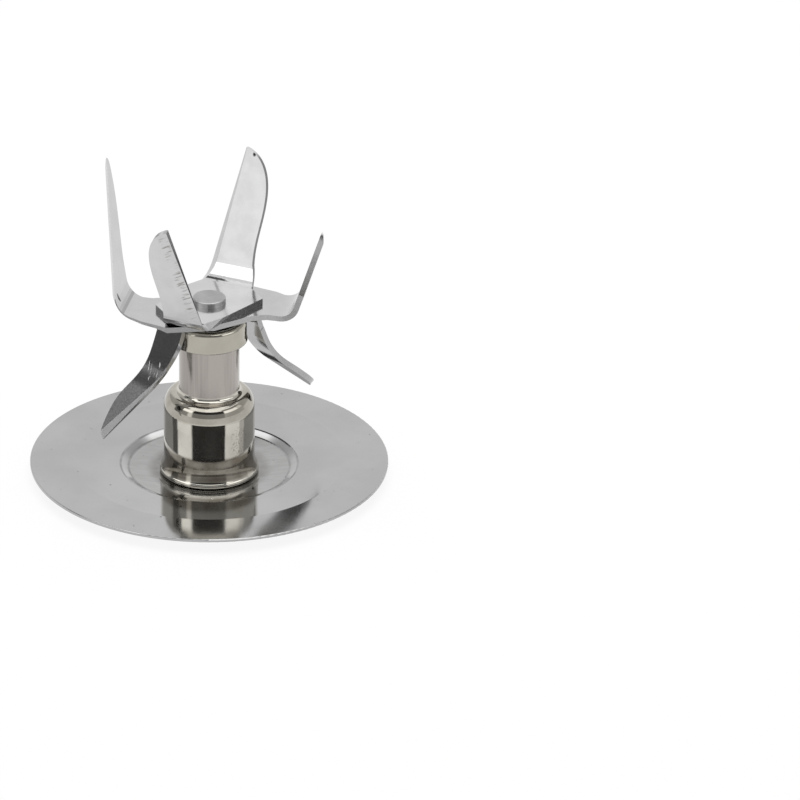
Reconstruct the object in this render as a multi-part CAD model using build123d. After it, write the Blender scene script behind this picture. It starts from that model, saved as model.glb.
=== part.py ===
"""Blade assembly of a kitchen blender: six bent blades riveted on a keyed shaft that turns in a stepped
post on a dished jar flange. Millimetres, origin on the axis at the underside of the flange, +Z up."""

import os
from math import cos, radians, sin

from build123d import *

# Jar flange
FLANGE_R = 31.75
FLANGE_SHEET = 0.6
SEAT_WIDTH = 7.75
STEP_IN_R = 14.3
STEP_RUN = 1.4
FLOOR_RISE = 0.6
STEP_RISE = 0.7
DISH_RISE = 0.7
STEP_ROUND = 0.8
EDGE_BREAK = 0.15
SEAT_IN_R = FLANGE_R - SEAT_WIDTH
STEP_OUT_R = STEP_IN_R + STEP_RUN
STEP_FOOT = FLANGE_SHEET + FLOOR_RISE
STEP_TOP = STEP_FOOT + STEP_RISE
SEAT_TOP = STEP_TOP + DISH_RISE

# Post that houses the bearings, from the floor of the flange up
POST_R = 8.05
POST_WALL = 0.8
POST_LENGTH = 12.3
BEAD = 0.75
BEAD_RISE = 0.5
FLARE_RISE = 3.6
SHOULDER_RISE = 3.2
SHOULDER_PULL = (2.0, 1.0)
SHOULDER_WALL = 1.0
NECK_R = 5.34
NECK_WALL = 0.6
NECK_LENGTH = 10.65
NECK_FILLET = 0.9
BEAD_R = POST_R + BEAD
BEAD_Z = FLANGE_SHEET + BEAD_RISE
BEAD_FOOT_R = POST_R + 0.1
FLOOR_R = BEAD_R + 0.7
FLARE_Z = FLANGE_SHEET + FLARE_RISE
SHOULDER_Z = FLANGE_SHEET + POST_LENGTH
SHOULDER_TOP = SHOULDER_Z + SHOULDER_RISE

# Cap over the shaft seal, its lip turned in under the collar at the top of the neck
CAP_SHEET = 0.6
CAP_RISE = 0.68
CAP_FIT = 0.1
CAP_ROUND = 0.9
LIP_FLARE = 0.18
LIP_RISE = 1.0
LIP_ROUND = 0.15
LIP_GAP = 0.06
COLLAR_LENGTH = 1.95
SEAL_T = 0.9
SEAL_LIP = 0.045
COLLAR_R = NECK_R + CAP_RISE - CAP_FIT
CAP_R = NECK_R + CAP_RISE + CAP_SHEET
COLLAR_Z = SHOULDER_TOP + NECK_LENGTH
COLLAR_TOP = COLLAR_Z + COLLAR_LENGTH
CAP_TOP = COLLAR_TOP + SEAL_T + CAP_SHEET
CAP_FOOT = COLLAR_Z - CAP_SHEET

# Shaft and bearings
SHAFT_R = 3.175
RUNNING = 0.03
FLOAT = 0.3
LOOSE = 0.1
LOWER_BUSH = 5.2
UPPER_BUSH = 5.0
BUSH_RIM = 0.56
BUSH_RIM_T = 1.2
WASHER_T = 0.8
BUSH_R = NECK_R - NECK_WALL
BUSH_RIM_R = BUSH_R + BUSH_RIM
BUSH_SEAT_Z = SHOULDER_TOP - SHOULDER_WALL
BUSH_FOOT_Z = BUSH_SEAT_Z - BUSH_RIM_T

# Drive socket inside the post
SOCKET_CLEAR = 0.75
SOCKET_RECESS = 1.2
SOCKET_EDGE = 0.4
SQUARE = 8.1
SQUARE_ROUND = 0.8
SQUARE_DEPTH = 8.5
SOCKET_R = POST_R - POST_WALL - SOCKET_CLEAR
SOCKET_TOP = BUSH_FOOT_Z - 2 * WASHER_T - FLOAT
SHAFT_END_Z = SOCKET_RECESS + SQUARE_DEPTH + 0.2

# Blade stack and the shaft end that carries it
BLADE = 1.0
STACK_GAP = 0.2
KEY_STEP = 0.675
KEY_FLAT = 0.6
SPACER_RIM = 0.725
SPACER_CLEAR = 0.5
HEAD_RIM = 0.42
HEAD_T = 1.0
HEAD_ROUND = 0.25
STACK_Z = CAP_TOP + STACK_GAP
KEY_R = SHAFT_R - KEY_STEP
SPACER_R = SHAFT_R + SPACER_RIM
CAP_HOLE_R = SPACER_R + SPACER_CLEAR

# Each blade is one sheet with two prongs, the second about half way round the axis. A prong has its bend
# line square to the azimuth "way", "reach" from the axis. Outlines are given as t along that line, clockwise
# from above, and the distance up the prong from the end of its bend.
UPPER_WAY = 65.0
UPPER_REACH = 8.13
UPPER_BEND = 3.8
UPPER_LEAN = (71.5, 70.4)
# Corner of the flat middle beside each prong, as t and distance from the axis
UPPER_CORNER = (7.97, 5.15)
# The front edge beside that corner, at the start and at the end of the bend, and its bevel, which runs out;
# the back at both ends of the bend
UPPER_EDGE = ((-6.44, -5.9, -5.04), (-4.9, -4.25, -4.35))
UPPER_BEVEL = (0.05, 1.0, 1.2)
UPPER_BACK = (4.4, 2.9)
UPPER_TIP = ((-1.3, 20.6), (-0.9, 20.6))
UPPER_TIP_BEVEL = 0.2
# The back of a prong swells from its tip to the widest point and draws in again; poles of both curves
UPPER_WIDEST = (3.62, 12.0)
UPPER_SWELL = ((1.45, 19.8), (3.62, 17.2))
UPPER_WAIST = ((3.62, 7.5), (2.5, 4.4))

MIDDLE_WAY = (-10.5, 168.0)
MIDDLE_REACH = 12.2
MIDDLE_BEND = 3.5
MIDDLE_LEAN = (71.5, 76.0)
MIDDLE_T = (-7.3, 1.5)
MIDDLE_T_END = (-5.9, 3.2)
MIDDLE_TIP = ((9.3, 19.4), (9.9, 20.4))
MIDDLE_SPINE = ((10.2, 17.0), (9.0, 13.2), (7.1, 9.1), (4.3, 3.6))
MIDDLE_BEVEL = 1.8
# Stations of the flat arm: distance from the bend, t of both edges, width of the bevel, thickness of its land
MIDDLE_FLAT = ((-6.7, -10.0, 4.6, 0.05, 0.95), (-4.2, -9.1, 2.3, 0.7, 0.45), (-1.7, -8.3, 1.4, 0.8, 0.45))
MIDDLE_BEND_BEVEL = ((0.9, 0.4), (2.25, 0.12))
MIDDLE_HUB_TRAILING = (7.4, 2.3)
BEND_SECTIONS = 8

LOWER_WAY = 225.0
LOWER_BEND = 1.2
LOWER_CLEAR = 0.05
LOWER_REACH = CAP_R + LOWER_CLEAR - LOWER_BEND
LOWER_DROP = 70.0
LOWER_STEEP = 4.9
LOWER_FLARE_R = 14.0
LOWER_FLARE = 28.0
LOWER_RUN = 13.5
LOWER_T = (-0.7, 5.1)
LOWER_ROOT = (1.0, 3.0)
LOWER_KINK = (0.9, 9.6)
LOWER_TIP = ((5.7, 24.8), (5.1, 24.4))
LOWER_SPINE = ((7.0, 21.8), (7.5, 17.2), (5.7, 10.0), (5.15, 5.0))
LOWER_SPARE = 2.0
LOWER_HUB_R = 5.3
LOWER_BEVEL = 1.3

SHARP_LAND = 0.12

# Room that the grinding cuts take beyond a bevel: sideways, above the face and past both ends of its line
GRIND_SIDE = 8.0
GRIND_RISE = 4.0
GRIND_PAST = 3.0
GRIND_RUN = 60.0

UP = Vector(0, 0, 1)


def ring(outer, inner, low, high):
    """A plain ring round the axis between two heights."""
    return Pos(0, 0, low) * extrude(Circle(outer) - Circle(inner), high - low)


def turned(edges):
    """A solid of revolution from the edges of its half section, x as radius and y as height."""
    return revolve(Plane.XZ * make_face(edges), Axis.Z)


def key_section():
    return Circle(KEY_R) & Rectangle(2 * KEY_R, 2 * (KEY_R - KEY_FLAT))


def away(way):
    """The outward direction of a prong and the clockwise one along its bend line."""
    a = radians(way)
    return Vector(cos(a), sin(a), 0), Vector(sin(a), -cos(a), 0)


def ribbon(start, segments, thick):
    """Section of a bent strip: its upper line is walked from start, thick to the right of the way walked.
    A segment is a length, or a radius of the upper line with a turn in degrees, upward positive."""
    x, y = start
    heading = 0.0
    upper = []
    lower = []
    first = None
    for segment in segments:
        a = radians(heading)
        right = (sin(a), -cos(a))
        under = (x + right[0] * thick, y + right[1] * thick)
        first = first or ((x, y), under)
        if isinstance(segment, tuple):
            radius, turn = segment
            side = 1 if turn > 0 else -1
            centre = (x - right[0] * radius * side, y - right[1] * radius * side)
            points = []
            for share in (0.5, 1.0):
                b = radians(heading + turn * share)
                out = (sin(b) * side, -cos(b) * side)
                for r in (radius, radius + thick * side):
                    points.append((centre[0] + out[0] * r, centre[1] + out[1] * r))
            upper.append(ThreePointArc((x, y), points[0], points[2]))
            lower.append(ThreePointArc(under, points[1], points[3]))
            heading += turn
            x, y = points[2]
            last_under = points[3]
        else:
            end = (x + cos(a) * segment, y + sin(a) * segment)
            last_under = (end[0] + right[0] * thick, end[1] + right[1] * thick)
            upper.append(Line((x, y), end))
            lower.append(Line(under, last_under))
            x, y = end
    ends = [Line(first[0], first[1]), Line((x, y), last_under)]
    return make_face(upper + lower + ends), (x, y), heading


def across(section, way, t_low, t_high):
    """A strip section drawn over distance from the axis and height, given its width along the bend line."""
    out, clockwise = away(way)
    plane = Plane(clockwise * t_low, x_dir=out, z_dir=out.cross(UP))
    return extrude(plane * section, (t_high - t_low) * (1 if plane.z_dir.dot(clockwise) > 0 else -1))


def grind(low, high, normal, edge):
    """The cut that grinds a bevel on a face: from the line low to high it falls to a land at the edge."""
    along = (high - low).normalized()
    inward = along.cross(normal).normalized()
    width = (low - edge).dot(inward)
    inward = inward * (1 if width > 0 else -1)
    fall = GRIND_SIDE * (BLADE - SHARP_LAND) / abs(width)
    section = Plane(low - along * GRIND_PAST, x_dir=inward, z_dir=along)
    rise = 1 if section.y_dir.dot(normal) > 0 else -1
    outline = Polyline(
        (0, 0), (-GRIND_SIDE, -fall * rise), (-GRIND_SIDE, GRIND_RISE * rise), (0, GRIND_RISE * rise),
        close=True,
    )
    return extrude(section * make_face(outline), GRIND_RUN)


def knife(plane, t_range, tip, back):
    """The flat of a raised prong in the plane of its inner face: straight in front, with the curves of
    its back from the tip down to the bend."""
    front = [Line((t_range[1], 0), (t_range[0], 0)), Line((t_range[0], 0), tip)]
    return extrude(plane * make_face(front + back), -BLADE)


def leaning_plane(way, reach, top, bend, lean):
    """The plane of a raised prong's inner face, x clockwise and y up the prong from the end of its bend."""
    out, clockwise = away(way)
    a = radians(lean)
    start = out * (reach + bend * sin(a)) + UP * (top + bend * (1 - cos(a)))
    return Plane(start, x_dir=clockwise, z_dir=UP * cos(a) - out * sin(a))


def arm_point(way, t, reach):
    out, clockwise = away(way)
    point = out * reach + clockwise * t
    return (point.X, point.Y)


def plate(points, low):
    """The flat middle of a blade."""
    return Pos(0, 0, low) * extrude(make_face(Polyline(*points, close=True)), BLADE)


def keyed(blade, low):
    return blade - Pos(0, 0, low) * extrude(key_section(), 2 * BLADE, both=True)


def flat_station(way, reach, top, *edges):
    out, clockwise = away(way)
    return (Plane(out * reach + UP * top, x_dir=clockwise, z_dir=out), *edges)


def bend_stations(way, reach, top, bend, lean, start, end):
    """Planes across a bend, each with t of both edges, the width of the bevel and the land that it leaves."""
    stations = []
    for step in range(BEND_SECTIONS + 1):
        share = step / BEND_SECTIONS
        plane = leaning_plane(way, reach, top, bend, lean * share)
        across_bend = Plane(plane.origin, x_dir=plane.x_dir, z_dir=plane.y_dir)
        stations.append((across_bend, *(a + (b - a) * share for a, b in zip(start, end))))
    return stations


def ground_strip(stations, sharp_face):
    """A strip through stations, ground to its leading edge, which is left on the upper or under face."""
    sharp, ground, land_side = (0, BLADE, 1) if sharp_face == "upper" else (BLADE, 0, -1)
    sections = []
    for plane, lead, trail, width, land in stations:
        outline = Polyline(
            (lead, sharp), (trail, sharp), (trail, ground), (lead + width, ground),
            (lead, sharp + land_side * land), close=True,
        )
        sections.append(plane * make_face(outline))
    return loft(sections, ruled=True)


def upper_blade(low):
    top = low + BLADE
    corner_t, corner_reach = UPPER_CORNER
    ways = (UPPER_WAY, UPPER_WAY + 180)
    hub = []
    for way, edge in zip(ways, UPPER_EDGE):
        hub += [arm_point(way, t, corner_reach) for t in (edge[0], corner_t)]
    blade = plate(hub, low)
    for way, lean, edge, tip in zip(ways, UPPER_LEAN, UPPER_EDGE, UPPER_TIP):
        beside = (edge[0], corner_t, UPPER_BEVEL[0], BLADE - UPPER_BEVEL[0])
        start, end = ((edge[k], UPPER_BACK[k - 1], UPPER_BEVEL[k], SHARP_LAND) for k in (1, 2))
        stations = [flat_station(way, corner_reach, top, *beside)]
        stations += bend_stations(way, UPPER_REACH, top, UPPER_BEND, lean, start, end)
        plane = leaning_plane(way, UPPER_REACH, top, UPPER_BEND, lean)
        back = [
            Bezier(tip, *UPPER_SWELL, UPPER_WIDEST),
            Bezier(UPPER_WIDEST, *UPPER_WAIST, (UPPER_BACK[1], 0)),
        ]
        prong = knife(plane, (edge[2], UPPER_BACK[1]), tip, back)
        bevel = ((edge[2] + UPPER_BEVEL[2], 0), (tip[0] + UPPER_TIP_BEVEL, tip[1]))
        line = [plane.from_local_coords(Vector(*point)) for point in bevel]
        prong -= grind(*line, plane.z_dir, plane.from_local_coords(Vector(edge[2], 0)))
        blade += ground_strip(stations, "under") + prong
    return keyed(blade, low)


def middle_blade(low):
    top = low + BLADE
    hub = []
    for way in MIDDLE_WAY:
        run, lead, trail, *_ = MIDDLE_FLAT[0]
        corners = [(lead, MIDDLE_REACH + run), (trail, MIDDLE_REACH + run), MIDDLE_HUB_TRAILING]
        hub += [arm_point(way, t, reach) for t, reach in corners]
    blade = plate(hub, low)
    start = MIDDLE_T + MIDDLE_BEND_BEVEL[0]
    end = MIDDLE_T_END + MIDDLE_BEND_BEVEL[1]
    for way, lean, tip in zip(MIDDLE_WAY, MIDDLE_LEAN, MIDDLE_TIP):
        stations = [flat_station(way, MIDDLE_REACH + run, top, *edges) for run, *edges in MIDDLE_FLAT]
        stations += bend_stations(way, MIDDLE_REACH, top, MIDDLE_BEND, lean, start, end)
        plane = leaning_plane(way, MIDDLE_REACH, top, MIDDLE_BEND, lean)
        foot = (MIDDLE_T_END[1], 0)
        back = Spline(tip, *MIDDLE_SPINE, foot, tangents=((0.9, -0.5), (-0.3, -1)))
        prong = knife(plane, MIDDLE_T_END, tip, [back])
        heel = Vector(MIDDLE_T_END[0], 0, -BLADE)
        edge = (Vector(*tip, -BLADE) - heel).normalized()
        inset = Vector(edge.Y, -edge.X, 0) * MIDDLE_BEVEL
        line = [plane.from_local_coords(point + inset) for point in (heel, heel + edge)]
        prong -= grind(*line, -plane.z_dir, plane.from_local_coords(heel))
        blade += ground_strip(stations, "upper") + prong
    return keyed(blade, low)


def lower_prong(way, top, tip):
    """A prong bent steeply down beside the cap and then flared outward, ground on its upper face."""
    out, clockwise = away(way)
    segments = [(LOWER_BEND + BLADE, -LOWER_DROP), LOWER_STEEP, (LOWER_FLARE_R, LOWER_FLARE), LOWER_RUN]
    section, end, heading = ribbon((LOWER_REACH, top), segments, BLADE)
    strip = across(section, way, LOWER_T[0] - LOWER_SPARE, LOWER_T[1] + 2 * LOWER_SPARE)
    mean = radians(LOWER_DROP - LOWER_FLARE / 2)
    plane = Plane(out * LOWER_REACH + UP * top, x_dir=clockwise, z_dir=out * sin(mean) + UP * cos(mean))
    outline = [
        Line((LOWER_T[1], -LOWER_SPARE), (LOWER_T[0], -LOWER_SPARE)),
        Line((LOWER_T[0], -LOWER_SPARE), (LOWER_T[0], LOWER_ROOT[1])),
        Spline((LOWER_T[0], LOWER_ROOT[1]), LOWER_KINK, tangents=((0, 1), (0.25, 1))),
        Line(LOWER_KINK, tip),
        Spline(tip, *LOWER_SPINE, (LOWER_T[1], LOWER_ROOT[0]), tangents=((0.5, -0.5), (0, -1))),
        Line((LOWER_T[1], LOWER_ROOT[0]), (LOWER_T[1], -LOWER_SPARE)),
    ]
    prong = strip & extrude(plane * make_face(outline), LOWER_RUN, both=True)
    slope = radians(heading)
    normal = UP * cos(slope) - out * sin(slope)
    bevel = []
    for t, run in (LOWER_KINK, (tip[0] + LOWER_BEVEL, tip[1]), tip):
        point = plane.from_local_coords(Vector(t, run))
        drop = (point - out * end[0] - UP * end[1]).dot(normal) / plane.z_dir.dot(normal)
        bevel.append(point - plane.z_dir * drop)
    return prong - grind(*bevel[:2], normal, bevel[2])


def lower_blade(low):
    half = [arm_point(LOWER_WAY, t, LOWER_REACH) for t in LOWER_T]
    blade = plate(half + [(-x, -y) for x, y in half], low)
    blade += Pos(0, 0, low) * extrude(Circle(LOWER_HUB_R), BLADE)
    for turn, tip in zip((0, 180), LOWER_TIP):
        blade += lower_prong(LOWER_WAY + turn, low + BLADE, tip)
    return keyed(blade, low)


def flange_plate():
    hole = POST_R - POST_WALL
    top = [
        (hole, FLANGE_SHEET), (FLOOR_R, FLANGE_SHEET), (STEP_IN_R, STEP_FOOT), (STEP_OUT_R, STEP_TOP),
        (SEAT_IN_R, SEAT_TOP), (FLANGE_R, SEAT_TOP),
    ]
    bottom = [(r, z - FLANGE_SHEET) for r, z in reversed(top)]
    section = make_face(Polyline(*top, *bottom, close=True))
    inside = [v for v in section.vertices() if hole + 0.1 < v.X < FLANGE_R - 0.1]
    section = fillet(inside, STEP_ROUND)
    rim = [v for v in section.vertices() if v.X > FLANGE_R - 0.1]
    section = fillet(rim, EDGE_BREAK)
    return revolve(Plane.XZ * section, Axis.Z)


def bearing_housing():
    inner = POST_R - POST_WALL
    neck_in = NECK_R - NECK_WALL
    fillet_r = NECK_R + NECK_FILLET
    foot = FLANGE_SHEET
    outside = [
        Line((inner, foot), (BEAD_FOOT_R, foot)),
        ThreePointArc((BEAD_FOOT_R, foot), (BEAD_R, BEAD_Z), (BEAD_R - 0.15, BEAD_Z + 0.6)),
        Spline((BEAD_R - 0.15, BEAD_Z + 0.6), (POST_R, FLARE_Z), tangents=((-0.5, 0.87), (0, 1))),
        Line((POST_R, FLARE_Z), (POST_R, SHOULDER_Z)),
        Bezier(
            (POST_R, SHOULDER_Z), (POST_R, SHOULDER_Z + SHOULDER_PULL[0]),
            (fillet_r + SHOULDER_PULL[1], SHOULDER_TOP), (fillet_r, SHOULDER_TOP),
        ),
        RadiusArc((fillet_r, SHOULDER_TOP), (NECK_R, SHOULDER_TOP + NECK_FILLET), NECK_FILLET),
        Polyline(
            (NECK_R, SHOULDER_TOP + NECK_FILLET), (NECK_R, COLLAR_Z), (COLLAR_R, COLLAR_Z),
            (COLLAR_R, COLLAR_TOP), (neck_in, COLLAR_TOP), (neck_in, BUSH_SEAT_Z),
            (BUSH_RIM_R + LOOSE, BUSH_SEAT_Z),
        ),
        Spline(
            (BUSH_RIM_R + LOOSE, BUSH_SEAT_Z), (inner, SHOULDER_Z - 0.6), tangents=((1, -0.2), (0, -1))
        ),
        Line((inner, SHOULDER_Z - 0.6), (inner, foot)),
    ]
    return turned(outside)


def seal_cap():
    grip = NECK_R + LIP_GAP
    inside_r = CAP_R - CAP_SHEET
    section = make_face(
        Polyline(
            (CAP_HOLE_R, CAP_TOP), (CAP_R, CAP_TOP), (CAP_R, CAP_FOOT + LIP_RISE),
            (CAP_R + LIP_FLARE, CAP_FOOT), (grip, CAP_FOOT), (grip, COLLAR_Z), (inside_r, COLLAR_Z),
            (inside_r, CAP_TOP - CAP_SHEET), (CAP_HOLE_R, CAP_TOP - CAP_SHEET), close=True,
        )
    )
    outside = section.vertices().filter_by_position(Axis.X, CAP_R, CAP_R + LIP_FLARE).sort_by(Axis.Y)
    section = fillet(outside[0], LIP_ROUND)
    section = fillet(section.vertices().sort_by_distance(outside[2].center())[0], CAP_ROUND)
    section = fillet(section.vertices().sort_by_distance(outside[1].center())[0], LIP_RISE)
    return revolve(Plane.XZ * section, Axis.Z)


def shaft():
    shoulder = CAP_TOP - CAP_SHEET + LOOSE
    head = STACK_Z + 3 * BLADE
    body = Pos(0, 0, SHAFT_END_Z) * extrude(Circle(SHAFT_R), shoulder - SHAFT_END_Z)
    body += Pos(0, 0, shoulder) * extrude(key_section(), head - shoulder)
    button = Pos(0, 0, head) * extrude(Circle(KEY_R + HEAD_RIM), HEAD_T)
    return body + fillet(button.edges().group_by(Axis.Z)[-1], HEAD_ROUND)


def drive_socket():
    body = extrude(Circle(SOCKET_R), SOCKET_TOP - SOCKET_RECESS)
    body = chamfer(body.edges().filter_by(GeomType.CIRCLE), SOCKET_EDGE)
    square = RectangleRounded(SQUARE, SQUARE, SQUARE_ROUND)
    body -= extrude(square, SQUARE_DEPTH)
    body -= extrude(offset(square, SOCKET_EDGE), SOCKET_EDGE, taper=45)
    body -= extrude(Circle(SHAFT_R), SOCKET_TOP)
    return Pos(0, 0, SOCKET_RECESS) * body


def lower_bush():
    bore = SHAFT_R + RUNNING
    rim = ring(BUSH_RIM_R, bore, BUSH_FOOT_Z, BUSH_SEAT_Z)
    return rim + ring(BUSH_R, bore, BUSH_SEAT_Z, BUSH_SEAT_Z + LOWER_BUSH)


def build():
    seal_top = COLLAR_TOP + SEAL_T
    wick_low = BUSH_SEAT_Z + LOWER_BUSH
    wick_high = COLLAR_TOP - UPPER_BUSH
    thrust = BUSH_FOOT_Z - WASHER_T
    spacer_low = seal_top + LOOSE
    spacer = extrude(Circle(SPACER_R) - key_section(), STACK_Z - spacer_low)
    return {
        "flange_plate": flange_plate(),
        "bearing_housing": bearing_housing(),
        "seal_cap": seal_cap(),
        "shaft_seal": ring(COLLAR_R, SHAFT_R + SEAL_LIP, COLLAR_TOP, seal_top),
        "upper_bush": ring(BUSH_R, SHAFT_R + RUNNING, wick_high, COLLAR_TOP),
        "oil_wick": ring(BUSH_R, SHAFT_R + LOOSE, wick_low, wick_high),
        "lower_bush": lower_bush(),
        "nylon_washer": ring(BUSH_RIM_R, SHAFT_R + LOOSE, thrust, BUSH_FOOT_Z),
        "steel_washer": ring(BUSH_RIM_R, SHAFT_R, SOCKET_TOP, SOCKET_TOP + WASHER_T),
        "drive_socket": drive_socket(),
        "shaft": shaft(),
        "blade_spacer": Pos(0, 0, spacer_low) * spacer,
        "lower_blade": lower_blade(STACK_Z),
        "middle_blade": middle_blade(STACK_Z + BLADE),
        "upper_blade": upper_blade(STACK_Z + 2 * BLADE),
    }


os.makedirs("parts", exist_ok=True)
for name, solid in build().items():
    export_step(solid, f"parts/{name}.step")
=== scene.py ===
"""Looks of a blender blade assembly: polished and ground metals, a white studio, the photograph's camera."""
from math import cos, degrees, pi, radians, sin
from types import SimpleNamespace

import bpy
from mathutils import Matrix, Vector


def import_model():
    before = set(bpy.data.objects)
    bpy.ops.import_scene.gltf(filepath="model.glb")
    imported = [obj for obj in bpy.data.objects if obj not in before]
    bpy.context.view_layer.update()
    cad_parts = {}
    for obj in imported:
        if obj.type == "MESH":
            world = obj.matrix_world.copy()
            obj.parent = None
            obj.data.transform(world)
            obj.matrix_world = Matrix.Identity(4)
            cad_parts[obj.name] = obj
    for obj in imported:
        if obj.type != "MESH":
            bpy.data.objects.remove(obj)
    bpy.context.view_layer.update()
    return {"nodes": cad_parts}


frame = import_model()

MM = 0.001

# The photograph's camera: a long lens that looks down on the object, which lies off the middle of the frame
LENS = 400.0
SENSOR = 36.0
FRAME_SIDE = 800
CAMERA_ELEVATION = 26.4
PIXELS_PER_MM = 5.6375
AXIS_PIXEL = (209.23, 458.6)
AXIS_HEIGHT = 2.6 * MM

# Blades: way is the azimuth of the first prong, and the second lies opposite. Then the greys of the rolled
# face, the front edge and the sheared back, the roughness of the face, and what grinding adds to it on the
# bevels.
BLADES = {
    # On the upper blade the near-black front edge is painted shade
    "upper_blade": dict(way=65.0, face=0.60, front=0.11, back=0.16, rough=0.12, grind=0.1),
    "middle_blade": dict(way=-11.25, face=0.54, front=0.27, back=0.42, rough=0.12, grind=0.1),
    "lower_blade": dict(way=225.0, face=0.54, front=0.45, back=0.42, rough=0.06, grind=0.4),
}

# Marks on the blades, and painted dark reflections on them, in mm. Strokes of the grinding wheel lie beside a
# prong's straight edge, between the heights low and high; the edge stands at foot across the prong where the
# strokes begin, and leans by slope. A painted dark reflection lies as a spot on the side of the sheet that
# looks along face. The lower blade's outside is rougher, and its dull grey is a painted dark reflection.
STROKES = {"upper_blade": dict(foot=-5.04, slope=0.1915, low=35.0, high=55.0)}
DARK_REFLECTION_SPOTS = {
    "upper_blade": dict(centre=(8.1, 16.3, 54.4), size=(0.5, 0.5, 0.7), face=(-0.4, -0.86, 0.32)),
    "middle_blade": dict(centre=(-16.0, -0.75, 34.5), size=(0.9, 0.45, 1.1), face=(0.93, -0.2, 0.3)),
}
SCRATCHES = {"lower_blade": dict(centre=(-9.9, -5.1, 22.5), size=(2.2, 2.2, 2.4))}
PAINTED_DARK_OUTSIDE = {"lower_blade": 0.22}

# Marks on the flange, in mm: a dark speck, a painted glint, painted contact shade round the foot of the post
# and painted shade along the edges of the step
FLANGE_SPECK = dict(centre=(-5.0, -17.9, 2.0), size=(0.4, 0.4, 0.4))
FLANGE_PAINTED_GLINT = dict(centre=(0.5, -12.8, 1.2), size=(0.35, 0.35, 0.35))
FOOT_SHADE_R = (9.4, 11.6)
STEP_R = (14.3, 15.7)

# The post, in mm: heights of the satin neck, heights and depth of the belts of painted shade at the foot and
# on the shoulder, where it is a painted dark reflection, and a worn place
NECK = (16.6, 26.5)
NECK_RIM = 0.5
POST_SHADE_BELTS = ((1.5, 6.6, 0.85), (12.6, 16.6, 0.5))
BELT_SHADE_RIM = 0.8
WORN_SPOT = dict(centre=(5.2, -6.1, 8.6), size=(2.4, 2.4, 4.2))

# Colours, light and dark, of the plating and of the pieces inside the post, of the painted shade on the
# plating, and of its pits
NICKEL = ((0.58, 0.56, 0.505, 1.0), (0.55, 0.53, 0.475, 1.0))
CAP_PLATE = ((0.43, 0.41, 0.355, 1.0), (0.40, 0.38, 0.33, 1.0))
BRONZE = ((0.50, 0.31, 0.14, 1.0), (0.20, 0.11, 0.05, 1.0))
NYLON = ((0.74, 0.71, 0.63, 1.0), (0.64, 0.60, 0.52, 1.0))
FELT = ((0.30, 0.25, 0.17, 1.0), (0.13, 0.10, 0.06, 1.0))
BELT_SHADE = (0.17, 0.15, 0.12, 1.0)
PIT = (0.22, 0.18, 0.13, 1.0)

# Depths of the grain, in mm
ROLLED_DEPTH = 0.0006
DRAWN_DEPTH = 0.0015
GROUND_DEPTH = 0.004
TURNED_DEPTH = 0.004
PORE_DEPTH = 0.03

# The studio: side of the floor in metres, its grey, how far it is plain white to the camera and to gloss, the
# world's light, and the lamp above, in degrees and metres
FLOOR_SIDE = 6.0
FLOOR_GREY = 0.92
FLOOR_GLOW = 0.88
WORLD_LIGHT = 0.55
SOFTBOX = dict(azimuth=180, elevation=82, distance=0.9, width=0.9, height=0.9, radiance=2.4)

# The white studio as polished metal mirrors it. Each wall or light box has the azimuth (0 on the camera's
# side, 90 on its right) and elevation of its middle, half its width and height, the softness of its rim, all
# in degrees, and its brightness. Later ones lie over earlier ones.
STUDIO = (
    (0, 76, 400, 26, 3.0, 1.9),  # light box overhead, all round
    (-11, 66, 53, 25.5, 2.0, 1.9),  # its lower part in front
    (0, 90, 400, 12, 3.0, 1.2),  # its dimmer middle
    (-83, 44, 16, 7, 2.0, 0.45),  # grey wall above the left box
    (75, 44, 34, 7, 2.0, 0.45),  # grey wall above the right box
    (-130, 30, 22, 16, 4.0, 0.65),  # wall at the back on the left
    (124, 30, 28, 16, 4.0, 0.65),  # wall at the back on the right
    (-72, 29.5, 25.5, 8.5, 1.5, 2.25),  # left box
    (90, 29.5, 9, 8.5, 2.5, 1.3),  # right box, its dimmer end
    (62, 29.5, 21, 8.5, 2.0, 2.15),  # right box
    (70, 9, 29, 12, 3.0, 0.7),  # wall below the right box
    (-50, 9, 8, 12, 2.5, 1.35),  # low light on the left
    (-68, 9, 12, 12, 3.0, 0.5),  # wall below the left box
    (-88, 8, 10, 14, 2.5, 0.22),  # dark wall on the left, low
    (-98, 29, 9.5, 11.5, 2.5, 0.22),  # dark wall on the left, high
    (-163, 50, 15, 12, 2.0, 0.1),  # dark patch at the back
    (-1.5, 8, 42.5, 15.5, 2.5, 0.4),  # grey wall in front
    (-1.5, 32, 42.5, 9.3, 1.2, 0.06),  # dark wall in front, above it
)


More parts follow.
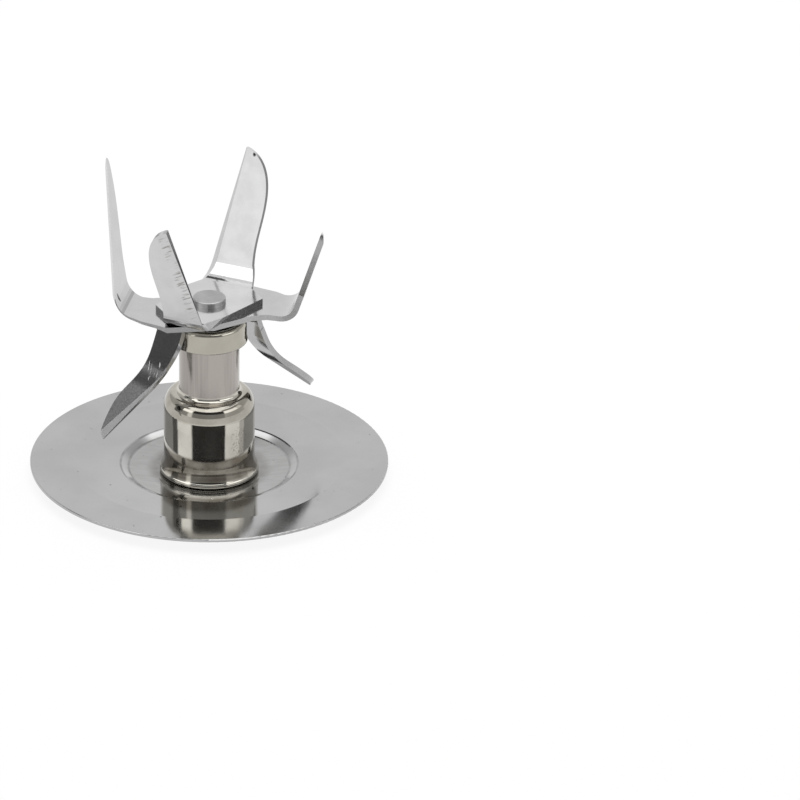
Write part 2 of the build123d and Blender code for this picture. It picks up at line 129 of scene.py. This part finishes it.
class Nodes:
    """Short forms for building a node tree. Most give back the output socket of what they add."""

    def __init__(self, tree):
        self.tree = tree
        self.tree.nodes.clear()

    def add(self, kind, **settings):
        node = self.tree.nodes.new(kind)
        for name, value in settings.items():
            setattr(node, name, value)
        return node

    def feed(self, socket, value):
        """Links an output to a socket, or sets a constant on it."""
        if isinstance(value, bpy.types.NodeSocket):
            self.tree.links.new(value, socket)
        else:
            socket.default_value = value

    def feed_all(self, node, values):
        for socket, value in zip(node.inputs, values):
            self.feed(socket, value)

    def math(self, operation, *values, clamp=False):
        node = self.add("ShaderNodeMath", operation=operation, use_clamp=clamp)
        self.feed_all(node, values)
        return node.outputs[0]

    def times(self, first, *others):
        for value in others:
            first = self.math("MULTIPLY", first, value)
        return first

    def plus(self, first, *others):
        for value in others:
            first = self.math("ADD", first, value)
        return first

    def ramp(self, value, low, high, out_low=0.0, out_high=1.0):
        """A smooth step of value from low to high."""
        node = self.add("ShaderNodeMapRange", interpolation_type="SMOOTHSTEP")
        self.feed_all(node, (value, low, high, out_low, out_high))
        return node.outputs[0]

    def band(self, value, low, high, rim):
        """1 between low and high, with soft rims inside them."""
        return self.times(self.ramp(value, low, low + rim), self.ramp(value, high - rim, high, 1.0, 0.0))

    def dot(self, vector, direction):
        node = self.add("ShaderNodeVectorMath", operation="DOT_PRODUCT")
        self.feed_all(node, (vector, direction))
        return node.outputs["Value"]

    def scaled(self, vector, scale):
        node = self.add("ShaderNodeVectorMath", operation="MULTIPLY")
        self.feed_all(node, (vector, scale))
        return node.outputs[0]

    def split(self, vector):
        node = self.add("ShaderNodeSeparateXYZ")
        self.feed(node.inputs[0], vector)
        return node.outputs

    def joined(self, *values):
        node = self.add("ShaderNodeCombineXYZ")
        self.feed_all(node, values)
        return node.outputs[0]

    def noise(self, vector, per_mm, detail=2.0, roughness=0.5, stretch=None):
        """Noise of a density, which stretch multiplies along x, y and z."""
        node = self.add("ShaderNodeTexNoise")
        self.feed(node.inputs["Vector"], self.scaled(vector, stretch) if stretch else vector)
        self.feed(node.inputs["Scale"], per_mm)
        self.feed(node.inputs["Detail"], detail)
        self.feed(node.inputs["Roughness"], roughness)
        return node.outputs["Fac"]

    def patches(self, vector, per_mm, detail, out_low, out_high, stretch=None):
        """Soft patches from out_low to out_high."""
        return self.ramp(self.noise(vector, per_mm, detail, stretch=stretch), 0.3, 0.7, out_low, out_high)

    def spot(self, place, centre, size):
        """1 within an oval of half axes size (mm) about centre, 0 outside it."""
        offset = self.add("ShaderNodeVectorMath", operation="SUBTRACT")
        self.feed_all(offset, (place, centre))
        reach = self.add("ShaderNodeVectorMath", operation="LENGTH")
        self.feed(reach.inputs[0], self.scaled(offset.outputs[0], tuple(1 / v for v in size)))
        return self.ramp(reach.outputs["Value"], 0.6, 1.0, 1.0, 0.0)

    def mix(self, share, a, b):
        node = self.add("ShaderNodeMix", data_type="RGBA")
        for name, value in (("Factor_Float", share), ("A_Color", a), ("B_Color", b)):
            self.feed(next(s for s in node.inputs if s.identifier == name), value)
        return next(s for s in node.outputs if s.identifier == "Result_Color")

    def bump(self, height, depth):
        """A normal that height tips; depth is in mm."""
        node = self.add("ShaderNodeBump")
        self.feed(node.inputs["Height"], height)
        self.feed(node.inputs["Distance"], depth * MM)
        self.feed(node.inputs["Strength"], 1.0)
        return node.outputs[0]

    def place(self):
        """Place on the object in millimetres."""
        return self.scaled(self.add("ShaderNodeTexCoord").outputs["Object"], (1 / MM,) * 3)

    def normal(self):
        """The object's own normal."""
        return self.add("ShaderNodeTexCoord").outputs["Normal"]

    def surface(self, shader):
        self.tree.links.new(shader, self.add("ShaderNodeOutputMaterial").inputs["Surface"])

    def principled(self, **values):
        node = self.add("ShaderNodeBsdfPrincipled")
        for name, value in values.items():
            self.feed(node.inputs[name.replace("_", " ")], value)
        self.surface(node.outputs[0])


def material(name):
    made = bpy.data.materials.new(name)
    made.use_nodes = True
    return made, Nodes(made.node_tree)


def grey(value, warm=0.0):
    """A grey whose red is raised and whose blue is lowered by warm."""
    return (value * (1 + warm), value, value * (1 - warm), 1.0)


def flange_steel():
    """Bright rolled sheet: grain in the rolling direction, smudges, a darker middle in patches and specks,
    with painted shade along the step and round the foot of the post, and a painted glint.
    """
    made, n = material("flange_steel")
    place = n.place()
    x, y = n.split(place)[:2]
    r = n.math("SQRT", n.plus(n.times(x, x), n.times(y, y)))
    grain = n.noise(place, per_mm=1.0, detail=3.0, stretch=(0.25, 7.0, 1.0))
    smudge = n.noise(place, per_mm=0.09, detail=3.0)
    colour = n.mix(n.ramp(smudge, 0.3, 0.75), grey(0.445), grey(0.405))
    # Darker inside the step, in patches
    middle = n.ramp(r, STEP_R[0], STEP_R[0] + 1.0, 1.0, 0.0)
    darker_middle = n.times(middle, n.patches(place, 0.8, 3.0, 0.5, 1.0, stretch=(0.35, 1.4, 1.0)))
    colour = n.mix(darker_middle, colour, grey(0.355, 0.012))
    # Painted shade in the creases along both edges of the step, darker in patches
    for edge in STEP_R:
        off = n.math("ABSOLUTE", n.math("SUBTRACT", r, edge))
        painted_crease_shade = n.times(n.ramp(off, 0.08, 0.3, 1.0, 0.0), n.patches(place, 0.35, 2.0, 0.25, 0.7))
        colour = n.mix(painted_crease_shade, colour, grey(0.15))
    # Painted contact shade round the foot of the post
    painted_foot_shade = n.times(n.ramp(r, *FOOT_SHADE_R, 0.75, 0.0), n.patches(place, 0.5, 3.0, 0.6, 1.0))
    colour = n.mix(painted_foot_shade, colour, grey(0.17, 0.03))
    specks = n.ramp(n.noise(place, per_mm=1.7, detail=1.0), 0.77, 0.80)
    specks = n.math("MAXIMUM", specks, n.spot(place, **FLANGE_SPECK))
    colour = n.mix(specks, colour, grey(0.12))
    # A painted glint: a small white spot in the colour, made rough
    painted_glint = n.spot(place, **FLANGE_PAINTED_GLINT)
    colour = n.mix(painted_glint, colour, grey(1.0))
    roughness = n.plus(n.ramp(smudge, 0.25, 0.8, 0.06, 0.12), n.times(grain, 0.04))
    roughness = n.math("MAXIMUM", roughness, n.times(painted_glint, 0.7))
    n.principled(Base_Color=colour, Metallic=1.0, Roughness=roughness, Normal=n.bump(grain, ROLLED_DEPTH))
    return made


def plated(name, light, dark, satin, rough):
    """Polished plating with drawing lines along the axis; the neck is satin, with streaks down it."""
    made, n = material(name)
    place = n.place()
    z = n.split(place)["Z"]
    neck = n.band(z, *NECK, NECK_RIM)
    lines = n.noise(place, per_mm=1.0, detail=3.0, stretch=(6.0, 6.0, 0.1))
    streaks = n.noise(place, per_mm=1.0, detail=2.0, stretch=(0.55, 0.55, 0.02))
    grained = n.plus(n.times(streaks, 0.7), n.times(lines, 0.3))
    drawn = n.mix(n.ramp(grained, 0.38, 0.6), grey(satin * 0.85, 0.075), grey(satin * 1.05, 0.075))
    colour = n.mix(n.patches(place, 0.35, 2.0, 0.0, 1.0), light, dark)
    colour = n.mix(neck, colour, drawn)
    uneven = n.patches(place, 0.45, 3.0, 0.8, 1.15)
    # Belts of painted shade: one at the foot of the post, and a painted dark reflection on the shoulder
    for low, high, depth in POST_SHADE_BELTS:
        painted_belt_shade = n.times(n.band(z, low, high, BELT_SHADE_RIM), depth, uneven)
        colour = n.mix(painted_belt_shade, colour, BELT_SHADE)
    pitted = n.ramp(n.noise(place, per_mm=3.2, detail=2.0), 0.5, 0.7, 0.0, 0.6)
    pits = n.times(n.spot(place, **WORN_SPOT), pitted)
    colour = n.mix(pits, colour, PIT)
    roughness = n.plus(n.ramp(neck, 0, 1, rough, 0.17), n.times(lines, 0.04))
    height = n.math("SUBTRACT", n.times(lines, n.ramp(neck, 0, 1, 0.15, 1.0)), pits)
    n.principled(Base_Color=colour, Metallic=1.0, Roughness=roughness, Normal=n.bump(height, DRAWN_DEPTH))
    return made


def prong_frame(n, way):
    """Place and directions on a blade: turn is how far a face looks towards the back of its prong, and
    outward how far it looks away from the axis."""
    a = radians(way)
    out = (cos(a), sin(a), 0.0)
    along = (sin(a), -cos(a), 0.0)
    place = n.place()
    normal = n.normal()
    prong = n.math("SIGN", n.dot(place, out))
    turn = n.times(prong, n.dot(normal, along))
    outward = n.times(prong, n.dot(normal, out))
    return SimpleNamespace(place=place, normal=normal, prong=prong, along=along, turn=turn, outward=outward)


def grinding_strokes(n, at, foot, slope, low, high):
    """Short strokes across a band beside the straight edge, on the outside of both prongs."""
    rise = n.math("SUBTRACT", n.split(at.place)["Z"], low)
    across = n.times(at.prong, n.dot(at.place, at.along))
    inside = n.math("SUBTRACT", across, n.math("MULTIPLY_ADD", rise, slope, foot))
    beside_edge = n.times(n.ramp(inside, 0.3, 0.9), n.ramp(inside, 1.9, 2.8, 1.0, 0.0))
    between_ends = n.times(n.ramp(rise, 0.0, 1.5), n.ramp(rise, high - low - 3.0, high - low, 1.0, 0.0))
    band = n.times(beside_edge, between_ends, n.ramp(at.outward, 0.2, 0.5))
    strip = n.joined(n.times(inside, 0.12), n.math("MULTIPLY_ADD", inside, 0.5, rise), at.prong)
    return n.times(band, n.ramp(n.noise(strip, per_mm=2.6, detail=2.0), 0.5, 0.66))


def fine_scratches(n, at, centre, size):
    """Bright scratches that run up the prong, within an oval."""
    across = n.dot(at.place, (at.along[0] * 1.9, at.along[1] * 1.9, -0.5))
    up = n.dot(at.place, (0.0, 0.0, 0.22))
    lines = n.ramp(n.noise(n.joined(across, up), per_mm=1.6, detail=1.0), 0.60, 0.68)
    return n.times(n.spot(at.place, centre, size), lines)


def face_spot(n, at, centre, size, face):
    """A spot on the side of the sheet that looks along face."""
    return n.times(n.spot(at.place, centre, size), n.ramp(n.dot(at.normal, face), 0.3, 0.6))


def blade_steel(name, way, face, front, back, rough, grind):
    """Tumbled blade sheet: rolled faces, ground bevels, front edges and sheared backs, told by their turn."""
    made, n = material(name + "_steel")
    at = prong_frame(n, way)
    is_back = n.ramp(at.turn, 0.5, 0.75)
    is_front = n.ramp(at.turn, -0.7, -0.85)
    is_ground = n.math("SUBTRACT", n.ramp(at.turn, -0.15, -0.3), is_front, clamp=True)
    grain = n.noise(at.place, per_mm=1.2, detail=3.0, stretch=(1.0, 1.0, 6.0))
    cloud = n.noise(at.place, per_mm=0.25, detail=3.0)
    shear = n.noise(at.place, per_mm=5.0, detail=3.0)
    colour = n.mix(n.ramp(cloud, 0.3, 0.75), grey(face), grey(face * 0.93))
    colour = n.mix(n.times(is_front, n.ramp(shear, 0.2, 0.6, 0.6, 1.0)), colour, grey(front))
    colour = n.mix(is_back, colour, n.mix(shear, grey(back * 0.6), grey(back * 1.3)))
    roughness = n.ramp(cloud, 0.3, 0.8, rough, rough * 1.35)
    roughness = n.plus(roughness, n.times(is_ground, grind), n.times(is_back, 0.15))
    height = n.plus(n.times(grain, 0.5), n.times(shear, n.math("MAXIMUM", is_front, is_back)))
    if name in STROKES:
        strokes = grinding_strokes(n, at, **STROKES[name])
        colour = n.mix(strokes, colour, grey(0.30, 0.03))
        height = n.math("SUBTRACT", height, n.times(strokes, 2.0))
    # Outside of the lower blade: rougher, with a dark grey that is a painted dark reflection
    if name in PAINTED_DARK_OUTSIDE:
        at_edge = n.ramp(n.math("ABSOLUTE", at.turn), 0.15, 0.3)
        outside = n.math("SUBTRACT", n.ramp(at.outward, 0.1, 0.3), at_edge, clamp=True)
        painted_dark_outside = n.mix(n.ramp(shear, 0.35, 0.65), grey(PAINTED_DARK_OUTSIDE[name] * 0.7), grey(PAINTED_DARK_OUTSIDE[name] * 1.2))
        colour = n.mix(outside, colour, painted_dark_outside)
        roughness = n.plus(roughness, n.times(outside, 0.09))
    # Painted dark reflection: a near-black spot on one side of the sheet
    if name in DARK_REFLECTION_SPOTS:
        colour = n.mix(face_spot(n, at, **DARK_REFLECTION_SPOTS[name]), colour, grey(0.02))
    if name in SCRATCHES:
        scratches = fine_scratches(n, at, **SCRATCHES[name])
        colour = n.mix(scratches, colour, grey(0.8))
        roughness = n.math("MAXIMUM", roughness, n.times(scratches, 0.75))
    n.principled(Base_Color=colour, Metallic=1.0, Roughness=roughness, Normal=n.bump(height, GROUND_DEPTH))
    return made


def turned_steel(name, base, rough):
    """Machined steel with turning marks round the axis."""
    made, n = material(name)
    place = n.place()
    cloud = n.noise(place, per_mm=0.6, detail=3.0)
    marks = n.noise(place, per_mm=1.0, detail=2.0, stretch=(0.4, 0.4, 9.0))
    colour = n.mix(cloud, grey(base), grey(base * 0.8))
    roughness = n.ramp(cloud, 0.3, 0.7, rough, rough * 1.4)
    n.principled(Base_Color=colour, Metallic=1.0, Roughness=roughness, Normal=n.bump(marks, TURNED_DEPTH))
    return made


def sintered(name, light, dark, rough):
    """Pressed powder metal: grainy, with open pores."""
    made, n = material(name)
    pores = n.noise(n.place(), per_mm=6.0, detail=4.0, roughness=0.7)
    colour = n.mix(n.ramp(pores, 0.35, 0.65), dark, light)
    roughness = n.ramp(pores, 0.3, 0.7, rough * 1.3, rough)
    n.principled(Base_Color=colour, Metallic=0.9, Roughness=roughness, Normal=n.bump(pores, PORE_DEPTH))
    return made


def soft(name, light, dark, rough, per_mm, depth):
    """Rubber, nylon and felt: a fine grain of its own density and depth."""
    made, n = material(name)
    fine = n.noise(n.place(), per_mm, detail=4.0, roughness=0.65)
    roughness = n.ramp(fine, 0.3, 0.7, rough, rough * 1.2)
    n.principled(Base_Color=n.mix(fine, dark, light), Roughness=roughness, Normal=n.bump(fine, depth))
    return made


def dress():
    """Gives every solid its material."""
    bronze = sintered("sintered_bronze", *BRONZE, rough=0.45)
    shaft = turned_steel("shaft_steel", base=0.46, rough=0.3)
    looks = {
        "flange_plate": flange_steel(),
        "bearing_housing": plated("nickel_plate", *NICKEL, satin=0.36, rough=0.05),
        "seal_cap": plated("cap_steel", *CAP_PLATE, satin=0.38, rough=0.05),
        "shaft": shaft,
        "blade_spacer": shaft,
        "steel_washer": shaft,
        "drive_socket": sintered("sintered_steel", grey(0.30), grey(0.12), rough=0.45),
        "upper_bush": bronze,
        "lower_bush": bronze,
        "shaft_seal": soft("seal_rubber", grey(0.03), grey(0.015), rough=0.6, per_mm=3.0, depth=0.02),
        "nylon_washer": soft("nylon", *NYLON, rough=0.4, per_mm=1.5, depth=0.01),
        "oil_wick": soft("felt", *FELT, rough=0.9, per_mm=2.5, depth=0.12),
    }
    for node, finish in BLADES.items():
        looks[node] = blade_steel(node, **finish)
    for node, look in looks.items():
        mesh = frame["nodes"][node].data
        mesh.materials.clear()
        mesh.materials.append(look)


def seen_directly(n):
    """1 for rays from the camera, from gloss and through glass."""
    path = n.add("ShaderNodeLightPath")
    seen = n.math("MAXIMUM", path.outputs["Is Camera Ray"], path.outputs["Is Glossy Ray"])
    return n.math("MAXIMUM", seen, path.outputs["Is Transmission Ray"])


def floor():
    """A white floor that keeps the object's shadow and is clear from below."""
    s = FLOOR_SIDE / 2
    mesh = bpy.data.meshes.new("floor")
    mesh.from_pydata([(-s, -s, 0), (s, -s, 0), (s, s, 0), (-s, s, 0)], [], [(0, 1, 2, 3)])
    plane = bpy.data.objects.new("floor", mesh)
    bpy.context.scene.collection.objects.link(plane)
    made, n = material("floor_white")
    paint = n.add("ShaderNodeBsdfDiffuse")
    n.feed(paint.inputs["Color"], grey(FLOOR_GREY))
    glow = n.add("ShaderNodeEmission")
    lit = n.add("ShaderNodeMixShader")
    n.feed_all(lit, (n.times(seen_directly(n), FLOOR_GLOW), paint.outputs[0], glow.outputs[0]))
    below = n.add("ShaderNodeNewGeometry").outputs["Backfacing"]
    clear = n.add("ShaderNodeBsdfTransparent")
    sided = n.add("ShaderNodeMixShader")
    n.feed_all(sided, (below, lit.outputs[0], clear.outputs[0]))
    n.surface(sided.outputs[0])
    mesh.materials.append(made)


def world():
    """White to the camera, with walls and light boxes to gloss, and an even white as light."""
    sky = bpy.data.worlds.new("studio")
    sky.use_nodes = True
    n = Nodes(sky.node_tree)
    x, y, z = n.split(n.add("ShaderNodeTexCoord").outputs["Generated"])
    azimuth = n.times(n.math("ARCTAN2", x, n.times(y, -1.0)), degrees(1))
    elevation = n.times(n.math("ARCSINE", z), degrees(1))
    mirrored = 1.0
    for middle, height, half_width, half_height, rim, brightness in STUDIO:
        share = 1.0
        for angle, centre, half in ((azimuth, middle, half_width), (elevation, height, half_height)):
            off = n.math("ABSOLUTE", n.math("WRAP", n.math("SUBTRACT", angle, centre), 180.0, -180.0))
            share = n.times(share, n.ramp(off, half - rim, half + rim, 1.0, 0.0))
        mirrored = n.plus(mirrored, n.times(share, n.math("SUBTRACT", brightness, mirrored)))
    path = n.add("ShaderNodeLightPath")
    lit = n.ramp(path.outputs["Is Glossy Ray"], 0, 1, WORLD_LIGHT, mirrored)
    white = n.math("MAXIMUM", path.outputs["Is Camera Ray"], path.outputs["Is Transmission Ray"])
    glow = n.add("ShaderNodeBackground")
    n.feed(glow.inputs["Color"], grey(1.0))
    n.feed(glow.inputs["Strength"], n.ramp(white, 0, 1, lit, 1.0))
    n.tree.links.new(glow.outputs[0], n.add("ShaderNodeOutputWorld").inputs["Surface"])
    bpy.context.scene.world = sky


def softbox(name, azimuth, elevation, distance, width, height, radiance):
    """A lamp that looks at the object; azimuth 0 is the camera's side and 90 its right."""
    lamp = bpy.data.lights.new(name, "AREA")
    lamp.shape = "RECTANGLE"
    lamp.size = width
    lamp.size_y = height
    lamp.energy = radiance * width * height * pi
    box = bpy.data.objects.new(name, lamp)
    a = radians(azimuth)
    e = radians(elevation)
    place = Vector((sin(a) * cos(e), -cos(a) * cos(e), sin(e))) * distance
    box.matrix_world = Matrix.Translation(place) @ place.to_track_quat("Z", "Y").to_matrix().to_4x4()
    box.visible_camera = False
    box.visible_glossy = False
    bpy.context.scene.collection.objects.link(box)


def camera():
    """The camera looks past the object, so that the axis comes out at its own pixel of the frame."""
    pixels = LENS / SENSOR * FRAME_SIDE
    e = radians(CAMERA_ELEVATION)
    back = Vector((0, -cos(e), sin(e)))
    right = Vector((1, 0, 0))
    upright = Matrix((right, back.cross(right), back)).transposed()
    aim = Vector((AXIS_PIXEL[0] - FRAME_SIDE / 2, FRAME_SIDE / 2 - AXIS_PIXEL[1], -pixels))
    turn = Vector((0, 0, -1)).rotation_difference(aim).inverted().to_matrix()
    data = bpy.data.cameras.new("camera")
    data.lens = LENS
    data.sensor_width = SENSOR
    seat = bpy.data.objects.new("camera", data)
    place = Vector((0, 0, AXIS_HEIGHT)) + back * (pixels / PIXELS_PER_MM * MM)
    seat.matrix_world = Matrix.Translation(place) @ (upright @ turn).to_4x4()
    bpy.context.scene.collection.objects.link(seat)
    bpy.context.scene.camera = seat


dress()
floor()
world()
softbox("softbox_above", **SOFTBOX)
camera()
bpy.context.scene.view_settings.view_transform = "Standard"
